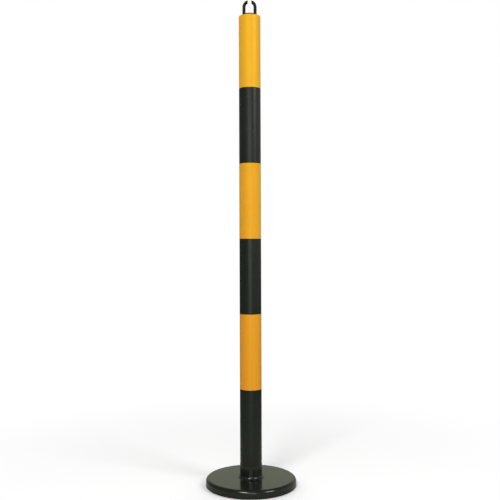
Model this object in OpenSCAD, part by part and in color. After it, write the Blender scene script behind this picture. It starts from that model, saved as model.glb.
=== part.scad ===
// Plastic chain stanchion: a pole of push-fit sections in two colours, on a weighted round base,
// with a split hook that turns in the top of the pole.
// Millimetres, +Z up. The origin is on the floor, under the middle of the base.

/* [Pole] */
// Outside diameter of every pole section
pole_od = 38; // [34:0.5:44]
// Wall thickness of the pole sections
pole_wall = 1.5; // [1.2:0.1:2]
// Length of each of the five equal sections
section_len = 131.5; // [110:0.5:160]
// Length of the shorter section that carries the hook
top_section_len = 126.5; // [100:0.5:160]

/* [Joiners] */
// Length of a joiner that stays pressed in the section below it
joiner_grip = 24; // [18:1:36]
// Length of a joiner that the section above pushes over
joiner_reach = 28; // [20:1:40]
// Wall thickness of joiners and of the base spigot
spigot_wall = 2.4; // [1.8:0.1:3]
// Number of grip ribs round each spigot
grip_ribs = 6; // [3:1:8]

/* [Base] */
// Diameter of the base
base_d = 158; // [144:1:200]
// Height of the base's flat top above the floor
base_h = 14.5; // [13:0.5:20]
// Radius of the rounded rim
rim_round = 5.5; // [2:0.5:8]
// Wall thickness of the base cover
cover_wall = 2.4; // [2:0.1:3]
// Height of the collar above the base's flat top
collar_h = 23; // [14:1:35]
// How far the collar stands out from the pole all round
collar_step = 0.4; // [0:0.1:1.5]
// Radius of the flare where the collar meets the base
flare = 5.5; // [2:0.5:7]
// Length of the spigot that the lowest section pushes over
spigot_len = 30; // [20:1:45]

/* [Underside] */
// Thickness of the plate that closes the base
plate_t = 2; // [1.6:0.1:2.6]
// How far the feet lift the base off the floor
foot_proud = 1; // [0.6:0.1:2]
// Diameter of each rubber foot
foot_d = 14; // [10:0.5:18]
// Number of rubber feet
foot_count = 6; // [3:1:8]
// Number of screws that hold the plate
screw_count = 4; // [3:1:6]
// Shank diameter of those screws
screw_d = 3.5; // [3:0.1:4]

/* [Hook] */
// Width over the hook's two legs
loop_w = 25; // [22:0.5:30]
// Diameter of the round bar that the hook is shaped like
bar_d = 5.5; // [4.5:0.1:6.5]
// Height of the hook's top above the pole
loop_rise = 29.5; // [26:0.5:40]
// Width of the mouth at the top of the loop
mouth = 6.4; // [5:0.1:9]
// Height of the hook's round foot
hook_foot_h = 3.5; // [2.5:0.1:5]
// Diameter of the stem that turns in the plug
stem_d = 10; // [8:0.5:12]
// Length of the plug's bore that the stem turns in
plug_bore_len = 14; // [10:1:20]

/* [Hidden] */
$fn = 96;

// clearances, each on the radius
press_gap = 0.05;
slip_gap = 0.1;
swivel_gap = 0.05;
loose_gap = 0.5;
snap_gap = 0.3;
// amount by which pieces of one moulding run into each other
bite = 0.5;

pole_r = pole_od / 2;
bore_r = pole_r - pole_wall;
// chamfers at the ends of a section, inside and outside
lead = 0.5 * pole_wall;
edge = 0.15 * pole_wall;

// a spigot's sleeve runs clear of the bore, and only its ribs come close
rib_proud = 0.2;
rib_r = 0.8;
rib_drop = 1;
spigot_r = bore_r - slip_gap - rib_proud;
spigot_lead = 3;
spigot_taper = 0.75;
// pressed pieces narrow towards the end that goes in first
press_r = bore_r - press_gap;
press_lead = 2;
press_taper = 1;
core_r = spigot_r - spigot_wall;
web_t = 1.6;
web_drop = 4;

base_r = base_d / 2;
collar_r = pole_r + collar_step;
collar_core_r = collar_r - spigot_wall;
collar_top = base_h + collar_h;
cover_ceiling = base_h - cover_wall;
// how far the flare's arc runs into the two walls that it joins
flare_blend = 0.1;
cavity_r = base_r - cover_wall;
// the hollow's corner follows the rim, so that the wall stays even
least_round = 0.3;
cavity_round = max(rim_round - cover_wall, least_round);
flat_r = base_r - rim_round;
stiffener_h = 1.2;
stiffener_t = 2;
stiffener_count = 8;

plate_top = foot_proud + plate_t;
foot_sink = plate_t / 2;
foot_inset = 3;
foot_ring_r = cavity_r - foot_d / 2 - foot_inset;
screw_inset = 27.65;
screw_ring_r = base_r - screw_inset;
screw_len = 0.85 * (cover_ceiling - foot_proud);
screw_head_r = 1.1 * screw_d;
screw_head_h = screw_head_r - screw_d / 2;
boss_wall = 2.6;
boss_r = screw_d / 2 + boss_wall;

pole_top = section_z(6) + top_section_len;
plug_r = press_r;
plug_skirt = 8;
plug_len = plug_bore_len + plug_skirt;
plug_cap = 3;
plug_wall = 2;
plug_boss_wall = 3;
plug_rib_count = 4;

leg_x = (loop_w - bar_d) / 2;
arch_z = pole_top + loop_rise - loop_w / 2;
hook_foot_margin = 1;
hook_foot_r = loop_w / 2 + hook_foot_margin;
hook_foot_edge = 0.6;
stem_r = stem_d / 2;
stem_taper = 1;
barb_proud = 0.8;
barb_r = stem_r + barb_proud;
barb_edge = 0.7;
barb_len = 5;
split_w = 2.4;

black = [0.09, 0.09, 0.09];
gloss_black = [0.04, 0.04, 0.04];
yellow = [0.93, 0.70, 0.16];
nylon_black = [0.12, 0.12, 0.12];
steel = [0.55, 0.56, 0.58];
rubber_black = [0.16, 0.16, 0.16];

// height of the lower end of a section, counted from 1 at the base
function section_z(number) = collar_top + (number - 1) * section_len;

// puts copies of its children round the Z axis
module ring_of(count, radius, first = 0) {
    for (i = [0 : count - 1])
        rotate(first + i * 360 / count)
            translate([radius, 0, 0])
                children();
}

// two upright walls that cross on the Z axis
module cross_web(radius, height) {
    for (turn = [0, 90])
        rotate(turn)
            translate([-radius, -web_t / 2, 0])
                cube([2 * radius, web_t, height]);
}

// hollow ribbed spigot on z = 0 that a pole section pushes over
module push_spigot(length) {
    rotate_extrude()
        polygon([[core_r, -bite], [spigot_r, -bite], [spigot_r, length - spigot_lead],
                 [spigot_r - spigot_taper, length], [core_r, length]]);
    ring_of(grip_ribs, spigot_r + rib_proud - rib_r)
        cylinder(h = length - spigot_lead - rib_drop, r = rib_r);
    cross_web(core_r + bite, length - web_drop);
}

// one length of pole, standing on z = 0, chamfered inside at the ends that meet a joiner
module pole_tube(length, top_lead) {
    rotate_extrude()
        polygon([[bore_r + lead, 0], [pole_r - edge, 0], [pole_r, edge],
                 [pole_r, length - edge], [pole_r - edge, length],
                 [bore_r + top_lead, length], [bore_r, length - top_lead], [bore_r, lead]]);
}

module equal_section(number, tint) {
    color(tint)
        translate([0, 0, section_z(number)])
            pole_tube(section_len, lead);
}

// sleeve at the top of a section: the lower half is pressed in, the upper half is a spigot,
// and a bead between them sits in the groove that the two sections' chamfers make
module joiner(number) {
    bead_r = bore_r + lead - snap_gap;
    bead_h = bead_r - press_r;
    color(nylon_black)
        translate([0, 0, section_z(number + 1)]) {
            rotate_extrude()
                polygon([[core_r, -joiner_grip], [press_r - press_taper, -joiner_grip],
                         [press_r, press_lead - joiner_grip], [press_r, -bead_h], [bead_r, 0],
                         [spigot_r, bead_r - spigot_r], [core_r, bead_r - spigot_r]]);
            translate([0, 0, -joiner_grip + web_drop])
                cross_web(core_r + bite, joiner_grip);
            push_spigot(joiner_reach);
        }
}

// half section of the base cover: rounded rim, flat top, flared collar, and the hollow below
module cover_profile() {
    difference() {
        union() {
            translate([0, foot_proud])
                square([base_r, base_h - foot_proud - rim_round]);
            translate([0, foot_proud])
                square([flat_r, base_h - foot_proud]);
            translate([flat_r, base_h - rim_round])
                circle(r = rim_round);
            translate([0, base_h - bite])
                square([collar_r, collar_h + bite]);
            difference() {
                translate([collar_r - bite, base_h - bite])
                    square([flare + bite, flare + bite]);
                translate([collar_r + flare, base_h + flare])
                    circle(r = flare + flare_blend);
            }
        }
        square([cavity_r, cover_ceiling - cavity_round]);
        square([cavity_r - cavity_round, cover_ceiling]);
        translate([cavity_r - cavity_round, cover_ceiling - cavity_round])
            circle(r = cavity_round);
        square([collar_core_r, collar_top - spigot_wall]);
        square([core_r, collar_top + bite]);
    }
}

module base_cover() {
    color(gloss_black)
        difference() {
            union() {
                rotate_extrude()
                    cover_profile();
                translate([0, 0, collar_top])
                    push_spigot(spigot_len);
                // the spigot's cross continues down inside the collar
                translate([0, 0, cover_ceiling])
                    cross_web(collar_core_r + bite, collar_top - cover_ceiling);
                // low ribs under the top keep the ballast off it
                for (i = [0 : stiffener_count - 1])
                    rotate((i + 0.5) * 360 / stiffener_count)
                        translate([collar_core_r + bite, -stiffener_t / 2, cover_ceiling - stiffener_h])
                            cube([flat_r - collar_core_r - bite, stiffener_t, stiffener_h + bite]);
                ring_of(screw_count, screw_ring_r)
                    translate([0, 0, plate_top])
                        cylinder(h = cover_ceiling - plate_top + bite, r = boss_r);
            }
            // pilot holes for the screws
            ring_of(screw_count, screw_ring_r)
                translate([0, 0, foot_proud])
                    cylinder(h = screw_len + snap_gap, r = screw_d / 2 + press_gap);
        }
}

module ballast_plate() {
    color(steel)
        difference() {
            translate([0, 0, plate_top])
                cylinder(h = cover_ceiling - stiffener_h - plate_top, r = flat_r - loose_gap);
            cylinder(h = base_h, r = collar_core_r);
            ring_of(screw_count, screw_ring_r)
                cylinder(h = base_h, r = boss_r + loose_gap);
        }
}

module bottom_plate() {
    color(nylon_black)
        difference() {
            translate([0, 0, foot_proud])
                cylinder(h = plate_t, r = cavity_r - snap_gap);
            ring_of(foot_count, foot_ring_r, 180 / foot_count)
                cylinder(h = foot_proud + foot_sink, r = foot_d / 2 + slip_gap);
            ring_of(screw_count, screw_ring_r) {
                cylinder(h = base_h, r = screw_d / 2 + slip_gap);
                translate([0, 0, foot_proud])
                    cylinder(h = screw_head_h, r1 = screw_head_r + slip_gap, r2 = screw_d / 2 + slip_gap);
            }
        }
}

// countersunk screw with a cross recess, its head at z = 0 and its shank upward
module countersunk_screw() {
    recess_depth = 0.35 * screw_d;
    recess_w = 0.25 * screw_d;
    difference() {
        union() {
            cylinder(h = screw_head_h, r1 = screw_head_r, r2 = screw_d / 2);
            cylinder(h = screw_len, r = screw_d / 2);
        }
        for (turn = [0, 90])
            rotate(turn)
                translate([-screw_d / 2, -recess_w / 2, -bite])
                    cube([screw_d, recess_w, recess_depth + bite]);
    }
}

module bottom_screws() {
    color(steel)
        ring_of(screw_count, screw_ring_r)
            translate([0, 0, foot_proud])
                countersunk_screw();
}

// round foot with a grip groove, let into the bottom plate
module rubber_foot() {
    foot_r = foot_d / 2;
    foot_edge = foot_proud / 2;
    groove_ring_r = foot_r / 2;
    groove_r = foot_r / 12;
    rotate_extrude()
        difference() {
            polygon([[0, 0], [foot_r - foot_edge, 0], [foot_r, foot_edge],
                     [foot_r, foot_proud + foot_sink], [0, foot_proud + foot_sink]]);
            translate([groove_ring_r, 0])
                circle(r = groove_r);
        }
}

module rubber_feet() {
    color(rubber_black)
        ring_of(foot_count, foot_ring_r, 180 / foot_count)
            rubber_foot();
}

module tube_1_black() {
    equal_section(1, black);
}

module tube_2_yellow() {
    equal_section(2, yellow);
}

module tube_3_black() {
    equal_section(3, black);
}

module tube_4_yellow() {
    equal_section(4, yellow);
}

module tube_5_black() {
    equal_section(5, black);
}

module tube_6_yellow() {
    color(yellow)
        translate([0, 0, section_z(6)])
            pole_tube(top_section_len, edge);
}

// cup pressed flush into the top of the pole, with a boss on ribs that carries the hook's stem
module top_plug() {
    plug_boss_r = stem_r + plug_boss_wall;
    rib_start = plug_boss_r - bite;
    color(nylon_black)
        translate([0, 0, pole_top])
            difference() {
                union() {
                    rotate_extrude()
                        polygon([[0, -plug_cap], [plug_r - plug_wall, -plug_cap],
                                 [plug_r - plug_wall, -plug_len], [plug_r - press_taper, -plug_len],
                                 [plug_r, press_lead - plug_len], [plug_r, -edge], [plug_r - edge, 0],
                                 [0, 0]]);
                    translate([0, 0, -plug_bore_len])
                        cylinder(h = plug_bore_len - bite, r = plug_boss_r);
                    for (i = [0 : plug_rib_count - 1])
                        rotate(i * 360 / plug_rib_count)
                            translate([rib_start, -web_t / 2, -plug_bore_len])
                                cube([plug_r - plug_wall + bite - rib_start, web_t, plug_bore_len - bite]);
                }
                translate([0, 0, -plug_bore_len - bite])
                    cylinder(h = plug_bore_len + 2 * bite, r = stem_r + swivel_gap);
            }
}

// split loop on a round foot; its split stem snaps through the plug and turns there
module hook() {
    barb_start = plug_bore_len + snap_gap;
    stem_end = barb_start + barb_len;
    color(nylon_black)
        union() {
            difference() {
                union() {
                    translate([0, 0, arch_z])
                        rotate([90, 0, 0])
                            rotate_extrude(angle = 180)
                                translate([leg_x, 0])
                                    circle(d = bar_d);
                    for (side = [-1, 1])
                        translate([side * leg_x, 0, pole_top + hook_foot_h - bite])
                            cylinder(h = arch_z - pole_top - hook_foot_h + bite, d = bar_d);
                }
                translate([-mouth / 2, -bar_d, arch_z])
                    cube([mouth, 2 * bar_d, loop_w]);
            }
            translate([0, 0, pole_top])
                rotate_extrude()
                    polygon([[0, 0], [hook_foot_r - hook_foot_edge, 0], [hook_foot_r, hook_foot_edge],
                             [hook_foot_r, hook_foot_h - hook_foot_edge],
                             [hook_foot_r - hook_foot_edge, hook_foot_h], [0, hook_foot_h]]);
            difference() {
                translate([0, 0, pole_top])
                    rotate_extrude()
                        polygon([[0, bite], [stem_r, bite], [stem_r, -barb_start], [barb_r, -barb_start],
                                 [barb_r, -barb_start - barb_edge], [stem_r - stem_taper, -stem_end],
                                 [0, -stem_end]]);
                translate([-split_w / 2, -stem_d, pole_top - stem_end - bite])
                    cube([split_w, 2 * stem_d, stem_end - plug_cap]);
            }
        }
}

base_cover();
ballast_plate();
bottom_plate();
bottom_screws();
rubber_feet();
tube_1_black();
tube_2_yellow();
tube_3_black();
tube_4_yellow();
tube_5_black();
tube_6_yellow();
joiner(1);  // joiner_1
joiner(2);  // joiner_2
joiner(3);  // joiner_3
joiner(4);  // joiner_4
joiner(5);  // joiner_5
top_plug();
hook();
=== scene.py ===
"""Looks for the plastic chain stanchion: striped push-fit pole, weighted round base and split hook."""

import math

import bmesh
import bpy
from mathutils import Matrix, Vector


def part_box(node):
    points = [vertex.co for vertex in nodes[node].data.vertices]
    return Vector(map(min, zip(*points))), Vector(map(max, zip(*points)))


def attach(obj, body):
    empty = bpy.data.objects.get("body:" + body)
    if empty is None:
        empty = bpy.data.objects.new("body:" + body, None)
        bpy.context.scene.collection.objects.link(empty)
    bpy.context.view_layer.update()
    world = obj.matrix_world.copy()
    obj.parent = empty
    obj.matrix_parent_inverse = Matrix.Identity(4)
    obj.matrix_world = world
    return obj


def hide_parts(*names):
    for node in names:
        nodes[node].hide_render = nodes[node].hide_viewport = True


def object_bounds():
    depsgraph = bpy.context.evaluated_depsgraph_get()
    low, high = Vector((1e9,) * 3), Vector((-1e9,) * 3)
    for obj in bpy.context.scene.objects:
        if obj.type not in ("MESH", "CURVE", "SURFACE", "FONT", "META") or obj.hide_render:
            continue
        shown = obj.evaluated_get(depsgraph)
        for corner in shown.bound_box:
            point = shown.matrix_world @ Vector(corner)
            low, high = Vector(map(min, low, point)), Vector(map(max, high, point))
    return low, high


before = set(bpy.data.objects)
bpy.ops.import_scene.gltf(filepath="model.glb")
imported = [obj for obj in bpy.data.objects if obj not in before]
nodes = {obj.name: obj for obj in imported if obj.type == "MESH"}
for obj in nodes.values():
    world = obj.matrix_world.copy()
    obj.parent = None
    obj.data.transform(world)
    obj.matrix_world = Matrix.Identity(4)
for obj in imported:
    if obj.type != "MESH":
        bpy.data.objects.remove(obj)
cad_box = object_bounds()

MM = 0.001

# Sizes of the pieces that are made here, where the frame's boxes don't give them
TUBE_WALL = 1.5 * MM
TUBE_EDGE = 0.35 * MM
TUBE_LEAD_IN = 0.7 * MM
HOOK_WIDTH = 25 * MM
HOOK_BAR = 5.5 * MM
HOOK_MOUTH = 6.4 * MM
HOOK_FOOT_HEIGHT = 3.5 * MM
HOOK_EDGE = 0.4 * MM
LEG_FILLET = 0.5 * MM
STEM_RADIUS = 5 * MM
STEM_TAPER = 1 * MM
STEM_SPLIT = 2.4 * MM
STEM_NECK = 3.5 * MM
BARB_RADIUS = 5.8 * MM
BARB_LENGTH = 5 * MM
BARB_EDGE = 0.7 * MM

# How finely round shapes are drawn, and how near two points lie to count as one
TURN_STEPS = 96
BAR_STEPS = 32
ARCH_STEPS = 24
FILLET_STEPS = 4
EDGE_STEPS = 3
LEAD_IN_STEPS = 2
SAME_POINT = 0.005 * MM
SAME_RING = 0.01 * MM
SHARP_ANGLE = math.radians(40)

# The camera that took the photograph, in pixels of its 500 pixel frame and in metres
FRAME_PIXELS = 500
FOCAL_PIXELS = 764
HORIZON_ABOVE_MIDDLE = 7
POLE_RIGHT_OF_MIDDLE = 0.3
CAMERA_DISTANCE = 1.341
CAMERA_HEIGHT = 0.4246
CAMERA_ROLL = math.radians(0.19)
SENSOR_WIDTH = 36

# The studio floor in metres: half its width, and how far from the pole it starts and ends to turn white
FLOOR_HALF_WIDTH = 8
FADE_START = 0.15
FADE_END = 0.8

# Strength of the soft fill from the front, and from straight behind, where no lamp stands
FRONT_FILL = 0.36
BACK_FILL = 2.0

# Sockets of a Mix node that mixes colours, and the values between which most of a noise lies
MIX_SHARE = 0
MIX_FIRST = 6
MIX_SECOND = 7
MIX_RESULT = 2
NOISE_LOW = 0.3
NOISE_HIGH = 0.7


# Node materials

def linear(hex_colour):
    """An sRGB hex colour as the linear RGBA that sockets take."""
    channels = []
    for i in (0, 2, 4):
        value = int(hex_colour[i:i + 2], 16) / 255
        channels.append(value / 12.92 if value <= 0.04045 else ((value + 0.055) / 1.055) ** 2.4)
    return (*channels, 1.0)


def add(tree, kind, settings=None, links=None):
    """Adds a node with its properties and socket values, and links sources into its inputs."""
    node = tree.nodes.new(kind)
    for name, value in (settings or {}).items():
        if isinstance(name, str) and hasattr(node, name):
            setattr(node, name, value)
        else:
            node.inputs[name].default_value = value
    for name, source in (links or {}).items():
        tree.links.new(source, node.inputs[name])
    return node


def bare_tree(owner):
    """The node tree of a material or a world, without the nodes that it starts with."""
    owner.use_nodes = True
    owner.node_tree.nodes.clear()
    return owner.node_tree


def bare_finish(name, sockets):
    """A material with only a shader so far: returns it with its tree, shader and object coordinates."""
    material = bpy.data.materials.new(name)
    tree = bare_tree(material)
    shader = add(tree, "ShaderNodeBsdfPrincipled", sockets)
    add(tree, "ShaderNodeOutputMaterial", links={"Surface": shader.outputs["BSDF"]})
    place = add(tree, "ShaderNodeTexCoord").outputs["Object"]
    return material, tree, shader, place


def link_finish(tree, shader, colour, dullness, relief):
    """Links the nodes that work out a finish into its shader."""
    tree.links.new(colour.outputs[MIX_RESULT], shader.inputs["Base Color"])
    tree.links.new(dullness.outputs["Result"], shader.inputs["Roughness"])
    tree.links.new(relief.outputs["Normal"], shader.inputs["Normal"])


def mottled_finish(name, sockets, colours, roughness, blotch, detail, depth):
    """A finish whose colour, roughness and relief follow one noise, its blotches and depth in metres."""
    material, tree, shader, place = bare_finish(name, sockets)
    spot = add(tree, "ShaderNodeMapping", {"Scale": [1 / size for size in blotch]}, {"Vector": place})
    noise = add(tree, "ShaderNodeTexNoise", {"Scale": 1.0, "Detail": detail},
                {"Vector": spot.outputs["Vector"]})
    mottle = noise.outputs["Fac"]
    shade = add(tree, "ShaderNodeMix",
                {"data_type": "RGBA", MIX_FIRST: linear(colours[0]), MIX_SECOND: linear(colours[1])},
                {MIX_SHARE: mottle})
    dullness = add(tree, "ShaderNodeMapRange",
                   {"From Min": NOISE_LOW, "From Max": NOISE_HIGH,
                    "To Min": roughness[0], "To Max": roughness[1]},
                   {"Value": mottle})
    relief = add(tree, "ShaderNodeBump", {"Strength": 1.0, "Distance": depth}, {"Height": mottle})
    link_finish(tree, shader, shade, dullness, relief)
    return material


def satin_extruded_pvc(name, colour, shade, sheen):
    # Extruded PVC pipe: satin, with draw lines along the pole that break up a highlight.
    # The real lines lie a few tenths of a millimetre apart, so they are drawn wider to show.
    line_width = 2.5 * MM
    line_length = 400 * MM
    line_depth = 0.02 * MM
    cloud_width = 40 * MM
    streak_low = 0.15
    streak_high = 0.4
    handling_width = 7 * MM
    handling_height = 16 * MM
    material, tree, shader, place = bare_finish(
        name, {"IOR": 1.5, "Specular IOR Level": 0.35, "Specular Tint": linear(sheen)})
    along = add(tree, "ShaderNodeMapping", {"Scale": (1 / line_width, 1 / line_width, 1 / line_length)},
                {"Vector": place})
    lines = add(tree, "ShaderNodeTexNoise", {"Scale": 1.0, "Detail": 2.0},
                {"Vector": along.outputs["Vector"]})
    pigment = add(tree, "ShaderNodeTexNoise", {"Scale": 1 / cloud_width, "Detail": 3.0}, {"Vector": place})
    streaks = add(tree, "ShaderNodeMath", {"operation": "MULTIPLY"},
                  {0: lines.outputs["Fac"], 1: pigment.outputs["Fac"]})
    share = add(tree, "ShaderNodeMapRange", {"From Min": streak_low, "From Max": streak_high},
                {"Value": streaks.outputs[0]})
    tint = add(tree, "ShaderNodeMix",
               {"data_type": "RGBA", MIX_FIRST: linear(colour), MIX_SECOND: linear(shade)},
               {MIX_SHARE: share.outputs["Result"]})
    touched = add(tree, "ShaderNodeMapping",
                  {"Scale": (1 / handling_width, 1 / handling_width, 1 / handling_height)},
                  {"Vector": place})
    handling = add(tree, "ShaderNodeTexNoise", {"Scale": 1.0, "Detail": 6.0},
                   {"Vector": touched.outputs["Vector"]})
    dullness = add(tree, "ShaderNodeMapRange",
                   {"From Min": NOISE_LOW, "From Max": NOISE_HIGH, "To Min": 0.3, "To Max": 0.4},
                   {"Value": handling.outputs["Fac"]})
    relief = add(tree, "ShaderNodeBump", {"Strength": 1.0, "Distance": line_depth},
                 {"Height": lines.outputs["Fac"]})
    link_finish(tree, shader, tint, dullness, relief)
    return material


def gloss_moulded_abs():
    # ABS moulded against a polished tool: a deep gloss, faintly wavy over the sinks behind its ribs.
    # A thin haze of handling dulls it in patches.
    haze_width = 12 * MM
    sink_width = 30 * MM
    sink_depth = 0.04 * MM
    material, tree, shader, place = bare_finish("gloss_moulded_abs", {"IOR": 1.5})
    haze = add(tree, "ShaderNodeTexNoise", {"Scale": 1 / haze_width, "Detail": 2.0}, {"Vector": place})
    tint = add(tree, "ShaderNodeMix",
               {"data_type": "RGBA", MIX_FIRST: linear("131812"), MIX_SECOND: linear("1a1f18")},
               {MIX_SHARE: haze.outputs["Fac"]})
    dullness = add(tree, "ShaderNodeMapRange",
                   {"From Min": NOISE_LOW, "From Max": NOISE_HIGH, "To Min": 0.15, "To Max": 0.19},
                   {"Value": haze.outputs["Fac"]})
    sinks = add(tree, "ShaderNodeTexNoise", {"Scale": 1 / sink_width, "Detail": 1.0}, {"Vector": place})
    waves = add(tree, "ShaderNodeBump", {"Strength": 1.0, "Distance": sink_depth},
                {"Height": sinks.outputs["Fac"]})
    link_finish(tree, shader, tint, dullness, waves)
    return material


def moulded_nylon():
    # Moulded black nylon: a dull sheen, with a slight pull of the flow in the mould.
    return mottled_finish("moulded_black_nylon", {"IOR": 1.53, "Specular IOR Level": 0.18},
                          colours=("0d120c", "141912"), roughness=(0.4, 0.55),
                          blotch=(3 * MM, 3 * MM, 9 * MM), detail=4.0, depth=0.04 * MM)


def spark_textured_abs():
    # ABS from a spark-eroded tool: an even matt grain, drawn at about twice its real width.
    return mottled_finish("spark_textured_abs", {"IOR": 1.5},
                          colours=("191918", "242423"), roughness=(0.55, 0.7),
                          blotch=(1.2 * MM, 1.2 * MM, 1.2 * MM), detail=3.0, depth=0.08 * MM)


def pressed_steel():
    # Bare steel plate as it leaves the press: grey with mill-scale clouds.
    return mottled_finish("pressed_steel", {"Metallic": 1.0},
                          colours=("6f7072", "94969a"), roughness=(0.4, 0.58),
                          blotch=(20 * MM, 20 * MM, 20 * MM), detail=6.0, depth=0.03 * MM)


def zinc_plate():
    # Bright zinc on screws: pale, with the small spangle of the plating bath.
    return mottled_finish("zinc_plate", {"Metallic": 1.0},
                          colours=("b4b6b3", "cfd1cf"), roughness=(0.24, 0.36),
                          blotch=(0.8 * MM, 0.8 * MM, 0.8 * MM), detail=2.0, depth=0.01 * MM)


def foot_rubber():
    # Moulded rubber: nearly black, matt, with a dusty bloom.
    return mottled_finish("foot_rubber", {"IOR": 1.52},
                          colours=("141413", "20201e"), roughness=(0.7, 0.85),
                          blotch=(2.5 * MM, 2.5 * MM, 2.5 * MM), detail=5.0, depth=0.04 * MM)


# The yellow pigment also tints the sheen, and each yellow section down the pole is a little redder
black_pvc = satin_extruded_pvc("satin_black_pvc", "191f18", "1e241d", sheen="ffffff")
top_yellow = satin_extruded_pvc("satin_yellow_pvc_top", "eaae22", "e7a822", sheen="fff09c")
middle_yellow = satin_extruded_pvc("satin_yellow_pvc_middle", "e8a624", "e5a024", sheen="fff09c")
low_yellow = satin_extruded_pvc("satin_yellow_pvc_low", "e79d26", "e39726", sheen="fff09c")
nylon = moulded_nylon()

TUBE_FINISHES = {
    "tube_1_black": black_pvc,
    "tube_2_yellow": low_yellow,
    "tube_3_black": black_pvc,
    "tube_4_yellow": middle_yellow,
    "tube_5_black": black_pvc,
    "tube_6_yellow": top_yellow,
}
NODE_FINISHES = {
    "base_cover": gloss_moulded_abs(),
    "ballast_plate": pressed_steel(),
    "bottom_plate": spark_textured_abs(),
    "bottom_screws": zinc_plate(),
    "rubber_feet": foot_rubber(),
    "top_plug": nylon,
    **{name: nylon for name in nodes if name.startswith("joiner_")},
}
for node_name, finish in NODE_FINISHES.items():
    slots = nodes[node_name].data.materials
    slots.clear()
    slots.append(finish)


# Pieces that replace solids

def new_object(bm, name):
    """Closes a shape's seams, turns its faces outwards and puts it in the scene."""
    bmesh.ops.remove_doubles(bm, verts=bm.verts, dist=SAME_POINT)
    bmesh.ops.dissolve_degenerate(bm, edges=bm.edges, dist=SAME_POINT)
    bmesh.ops.recalc_face_normals(bm, faces=bm.faces)
    if bm.calc_volume(signed=True) < 0:
        bmesh.ops.reverse_faces(bm, faces=bm.faces)
    mesh = bpy.data.meshes.new(name)
    bm.to_mesh(mesh)
    bm.free()
    item = bpy.data.objects.new(name, mesh)
    bpy.context.scene.collection.objects.link(item)
    return item


def combine(shape, tool, operation):
    """Joins a closed shape to another, or cuts it out, so that one clean shell is left."""
    pair = [new_object(shape, "shape"), new_object(tool, "tool")]
    change = pair[0].modifiers.new("combine", "BOOLEAN")
    change.operation = operation
    change.solver = "EXACT"
    change.object = pair[1]
    solved = pair[0].evaluated_get(bpy.context.evaluated_depsgraph_get())
    shell = bmesh.new()
    shell.from_mesh(solved.to_mesh())
    for item in pair:
        bpy.data.meshes.remove(item.data)
    return shell


def place_piece(bm, name, body, node, finish):
    """Hangs a finished shape on its body in place of a node, smooth except at its real edges."""
    piece = new_object(bm, name)
    piece.data.shade_smooth()
    piece.data.set_sharp_from_angle(angle=SHARP_ANGLE)
    piece.data.materials.append(finish)
    piece.modifiers.new("even_shading", "WEIGHTED_NORMAL").keep_sharp = True
    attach(piece, body)
    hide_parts(node)


def turn_profile(bm, points, closed):
    """Spins an outline of (radius, height) points right round the Z axis and returns the new edges."""
    verts = [bm.verts.new((radius, 0, height)) for radius, height in points]
    pairs = list(zip(verts, verts[1:]))
    if closed:
        pairs.append((verts[-1], verts[0]))
    outline = [bm.edges.new(pair) for pair in pairs]
    bmesh.ops.spin(bm, geom=verts + outline, cent=(0, 0, 0), axis=(0, 0, 1), angle=math.tau,
                   steps=TURN_STEPS, use_merge=True)
    return bm.edges[:]


def ring_edges(edges, radius, height):
    """The edges that lie on the ring of this radius and height."""
    return [edge for edge in edges if all(
        math.isclose(math.hypot(vert.co.x, vert.co.y), radius, abs_tol=SAME_RING)
        and math.isclose(vert.co.z, height, abs_tol=SAME_RING) for vert in edge.verts)]


def soften(bm, edges, width, steps):
    """Rounds edges over this width."""
    bmesh.ops.bevel(bm, geom=edges, offset=width, offset_type="OFFSET", segments=steps, profile=0.5,
                    affect="EDGES", material=-1)


def pole_section(number, node, finish):
    """A length of pipe whose cut rims are softened outside and opened to a lead-in inside."""
    low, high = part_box(node)
    outer = high.x
    inner = outer - TUBE_WALL
    bm = bmesh.new()
    wall = [(inner, low.z), (outer, low.z), (outer, high.z), (inner, high.z)]
    edges = turn_profile(bm, wall, closed=True)
    outer_rims = ring_edges(edges, outer, low.z) + ring_edges(edges, outer, high.z)
    inner_rims = ring_edges(edges, inner, low.z) + ring_edges(edges, inner, high.z)
    soften(bm, outer_rims, TUBE_EDGE, EDGE_STEPS)
    soften(bm, inner_rims, TUBE_LEAD_IN, LEAD_IN_STEPS)
    place_piece(bm, f"pole_section_{number}", f"section_{number}", node, finish)


def grow_ring(bm, edges, lift, widen, centre):
    """Extrudes a ring of edges upwards, and widens the new ring about a centre."""
    grown = bmesh.ops.extrude_edge_only(bm, edges=edges)["geom"]
    verts = [item for item in grown if isinstance(item, bmesh.types.BMVert)]
    bmesh.ops.translate(bm, verts=verts, vec=(0, 0, lift))
    bmesh.ops.scale(bm, verts=verts, vec=(widen, widen, 1), space=Matrix.Translation(-centre))
    return [item for item in grown if isinstance(item, bmesh.types.BMEdge)]


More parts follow.
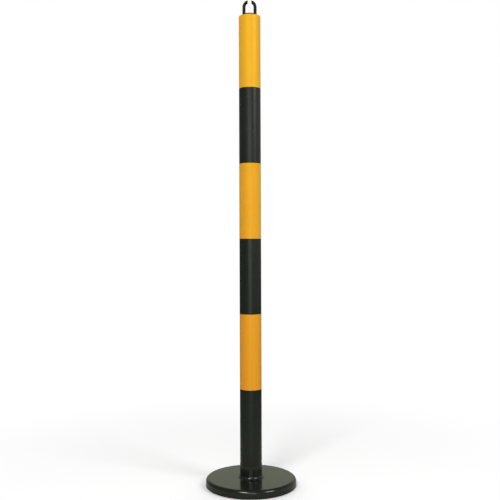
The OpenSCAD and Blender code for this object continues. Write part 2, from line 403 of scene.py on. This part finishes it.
def hook_loop(foot_top, arch_height):
    """Two legs, filleted at the foot, and the arch over them with the mouth cut from its top."""
    bar = HOOK_BAR / 2
    axis = Vector(((HOOK_WIDTH - HOOK_BAR) / 2, 0, 0))
    radius = bar + LEG_FILLET
    height = 0
    bm = bmesh.new()
    ring = bmesh.ops.create_circle(bm, cap_ends=True, segments=BAR_STEPS, radius=radius)["verts"]
    bmesh.ops.translate(bm, verts=ring, vec=axis + Vector((0, 0, foot_top - LEG_FILLET)))
    edges = grow_ring(bm, bm.edges[:], LEG_FILLET, 1, axis)
    for step in range(1, FILLET_STEPS + 1):
        angle = math.pi / 2 * step / FILLET_STEPS
        next_radius = bar + LEG_FILLET * (1 - math.sin(angle))
        next_height = LEG_FILLET * (1 - math.cos(angle))
        edges = grow_ring(bm, edges, next_height - height, next_radius / radius, axis)
        radius = next_radius
        height = next_height
    edges = grow_ring(bm, edges, arch_height - foot_top - height, 1, axis)
    rim = list(dict.fromkeys(vert for edge in edges for vert in edge.verts))
    bmesh.ops.spin(bm, geom=rim + edges, cent=(0, 0, arch_height), axis=(0, -1, 0), angle=math.pi / 2,
                   steps=ARCH_STEPS)
    cut = bmesh.ops.bisect_plane(bm, geom=bm.verts[:] + bm.edges[:] + bm.faces[:], dist=SAME_POINT,
                                 plane_co=(HOOK_MOUTH / 2, 0, 0), plane_no=(1, 0, 0), clear_inner=True)
    mouth_edges = [item for item in cut["geom_cut"] if isinstance(item, bmesh.types.BMEdge)]
    bmesh.ops.contextual_create(bm, geom=mouth_edges)
    soften(bm, mouth_edges, HOOK_EDGE, EDGE_STEPS)
    bmesh.ops.mirror(bm, geom=bm.verts[:] + bm.edges[:] + bm.faces[:], axis="X", merge_dist=0)
    return bm


def hook_foot_and_stem(foot_top, foot_bottom, foot_radius, stem_end):
    """The round foot and, under it, the barbed stem that is split so that it snaps into the plug."""
    barb_height = stem_end + BARB_LENGTH
    body = bmesh.new()
    edges = turn_profile(body, [
        (0, foot_top), (foot_radius, foot_top), (foot_radius, foot_bottom), (STEM_RADIUS, foot_bottom),
        (STEM_RADIUS, barb_height), (BARB_RADIUS, barb_height), (BARB_RADIUS, barb_height - BARB_EDGE),
        (STEM_RADIUS - STEM_TAPER, stem_end), (0, stem_end)], closed=False)
    rims = ring_edges(edges, foot_radius, foot_top) + ring_edges(edges, foot_radius, foot_bottom)
    soften(body, rims, HOOK_EDGE, EDGE_STEPS)
    split_length = foot_bottom - STEM_NECK - stem_end
    right_through = 4 * STEM_RADIUS
    split = bmesh.new()
    bmesh.ops.create_cube(split, size=1)
    bmesh.ops.scale(split, verts=split.verts, vec=(STEM_SPLIT, right_through, 2 * split_length))
    bmesh.ops.translate(split, verts=split.verts, vec=(0, 0, stem_end))
    return combine(body, split, "DIFFERENCE")


def split_hook():
    """The loop and its foot and stem as one moulding."""
    low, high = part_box("hook")
    pole_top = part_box("tube_6_yellow")[1].z
    foot_top = pole_top + HOOK_FOOT_HEIGHT
    arch_height = high.z - math.sqrt((HOOK_WIDTH / 2) ** 2 - (HOOK_MOUTH / 2) ** 2)
    body = hook_foot_and_stem(foot_top, pole_top, high.x, low.z)
    moulding = combine(body, hook_loop(foot_top, arch_height), "UNION")
    place_piece(moulding, "split_hook", "hook", "hook", nylon)


for number, (node_name, finish) in enumerate(TUBE_FINISHES.items(), start=1):
    pole_section(number, node_name, finish)
split_hook()


# Floor, light and camera

def studio_floor():
    """A wide floor that takes the shadow: pale to the camera and white far off, a plain grey to bounced
    light, and to gloss a grey that gets as dim as the room."""
    bm = bmesh.new()
    bmesh.ops.create_grid(bm, x_segments=1, y_segments=1, size=FLOOR_HALF_WIDTH)
    floor = new_object(bm, "floor")
    material = bpy.data.materials.new("studio_paper")
    tree = bare_tree(material)
    ray = add(tree, "ShaderNodeLightPath")
    grey = add(tree, "ShaderNodeBsdfDiffuse", {"Color": linear("a2a498")})
    dim = add(tree, "ShaderNodeBsdfDiffuse", {"Color": linear("4a4b45")})
    near = add(tree, "ShaderNodeBsdfDiffuse", {"Color": linear("f2f2f2")})
    far = add(tree, "ShaderNodeEmission", {"Strength": 1.0})
    reach = add(tree, "ShaderNodeVectorMath", {"operation": "LENGTH"},
                {0: add(tree, "ShaderNodeTexCoord").outputs["Object"]})
    fade = add(tree, "ShaderNodeMapRange",
               {"interpolation_type": "SMOOTHSTEP", "From Min": FADE_START, "From Max": FADE_END},
               {"Value": reach.outputs["Value"]})
    pale = add(tree, "ShaderNodeMixShader",
               links={0: fade.outputs["Result"], 1: near.outputs[0], 2: far.outputs[0]})
    mirrored = add(tree, "ShaderNodeMixShader",
                   links={0: fade.outputs["Result"], 1: grey.outputs[0], 2: dim.outputs[0]})
    bounced = add(tree, "ShaderNodeMixShader",
                  links={0: ray.outputs["Is Glossy Ray"], 1: grey.outputs[0], 2: mirrored.outputs[0]})
    shown = add(tree, "ShaderNodeMixShader",
                links={0: ray.outputs["Is Camera Ray"], 1: bounced.outputs[0], 2: pale.outputs[0]})
    add(tree, "ShaderNodeOutputMaterial", links={"Surface": shown.outputs[0]})
    floor.data.materials.append(material)


def studio_world():
    """White to the camera. Gloss sees a dim room with a low pale screen on the right and a warm grey
    backdrop hung behind the object, and matt surfaces get a soft fill that is stronger from behind."""
    world = bpy.data.worlds.new("studio")
    bpy.context.scene.world = world
    tree = bare_tree(world)
    # Where each begins and is full, by how far a direction points right, behind or up
    screen = {"From Min": 0.3, "From Max": 0.9}
    screen_top = {"From Min": 0.5, "From Max": 0.3}
    backdrop = {"From Min": 0.6, "From Max": 0.95}
    backdrop_foot = {"From Min": 0.0, "From Max": 0.2}
    back_fill = {"From Min": 0.2, "From Max": 0.85, "To Min": FRONT_FILL, "To Max": BACK_FILL}
    ray = add(tree, "ShaderNodeLightPath")
    towards = add(tree, "ShaderNodeSeparateXYZ",
                  links={0: add(tree, "ShaderNodeTexCoord").outputs["Generated"]})
    low_down = add(tree, "ShaderNodeMapRange", screen_top, {"Value": towards.outputs["Z"]})
    hung = add(tree, "ShaderNodeMapRange", backdrop_foot, {"Value": towards.outputs["Z"]})
    right = add(tree, "ShaderNodeMapRange", screen,
                {"Value": towards.outputs["X"], "To Max": low_down.outputs["Result"]})
    behind = add(tree, "ShaderNodeMapRange", backdrop,
                 {"Value": towards.outputs["Y"], "To Max": hung.outputs["Result"]})
    sides = add(tree, "ShaderNodeMix",
                {"data_type": "RGBA", MIX_FIRST: linear("6c6c6c"), MIX_SECOND: linear("c4c4bf")},
                {MIX_SHARE: right.outputs["Result"]})
    room = add(tree, "ShaderNodeMix", {"data_type": "RGBA", MIX_SECOND: linear("c4c7b3")},
               {MIX_SHARE: behind.outputs["Result"], MIX_FIRST: sides.outputs[MIX_RESULT]})
    gloss = add(tree, "ShaderNodeBackground", {"Strength": 1.0}, {"Color": room.outputs[MIX_RESULT]})
    strength = add(tree, "ShaderNodeMapRange", back_fill, {"Value": towards.outputs["Y"]})
    fill = add(tree, "ShaderNodeBackground", {"Color": linear("ffffff")},
               {"Strength": strength.outputs["Result"]})
    white = add(tree, "ShaderNodeBackground", {"Color": linear("ffffff"), "Strength": 1.0})
    seen_in_gloss = add(tree, "ShaderNodeMath", {"operation": "MAXIMUM"},
                        {0: ray.outputs["Is Glossy Ray"], 1: ray.outputs["Is Transmission Ray"]})
    lit = add(tree, "ShaderNodeMixShader",
              links={0: seen_in_gloss.outputs[0], 1: fill.outputs[0], 2: gloss.outputs[0]})
    shown = add(tree, "ShaderNodeMixShader",
                links={0: ray.outputs["Is Camera Ray"], 1: lit.outputs[0], 2: white.outputs[0]})
    add(tree, "ShaderNodeOutputWorld", links={"Surface": shown.outputs[0]})
    # Without this, gloss would also be lit by the fill
    world.cycles.sampling_method = "NONE"


def softbox(name, azimuth, elevation, distance, width, height, watts):
    """A soft lamp aimed at the pole's middle; azimuth 0 is the camera's side and 90 its right."""
    low, high = cad_box
    aim = Vector((0, 0, (low[2] + high[2]) / 2))
    turn = math.radians(azimuth)
    rise = math.radians(elevation)
    place = aim + distance * Vector((math.sin(turn) * math.cos(rise), -math.cos(turn) * math.cos(rise),
                                     math.sin(rise)))
    lamp = bpy.data.lights.new(name, "AREA")
    lamp.shape = "RECTANGLE"
    lamp.size = width
    lamp.size_y = height
    lamp.energy = watts
    box = bpy.data.objects.new(name, lamp)
    box.location = place
    box.rotation_euler = (aim - place).to_track_quat("-Z", "Y").to_euler()
    bpy.context.scene.collection.objects.link(box)


def photo_camera():
    """A level camera at the photograph's height, shifted so that the object fills the frame."""
    camera = bpy.data.cameras.new("camera")
    camera.sensor_width = SENSOR_WIDTH
    camera.lens = SENSOR_WIDTH * FOCAL_PIXELS / FRAME_PIXELS
    camera.shift_x = -POLE_RIGHT_OF_MIDDLE / FRAME_PIXELS
    camera.shift_y = -HORIZON_ABOVE_MIDDLE / FRAME_PIXELS
    eye = bpy.data.objects.new("camera", camera)
    eye.location = (0, -CAMERA_DISTANCE, CAMERA_HEIGHT)
    eye.rotation_euler = (math.pi / 2, CAMERA_ROLL, 0)
    bpy.context.scene.collection.objects.link(eye)
    bpy.context.scene.camera = eye


studio_floor()
studio_world()
softbox("camera_side_softbox", azimuth=-2, elevation=6, distance=1.9, width=1.1, height=1.1, watts=7.5)
softbox("left_softbox", azimuth=-22, elevation=40, distance=3.0, width=0.8, height=0.8, watts=38.5)
softbox("right_softbox", azimuth=53, elevation=30, distance=3.0, width=1.0, height=1.4, watts=30)
photo_camera()
bpy.context.scene.view_settings.view_transform = "Standard"
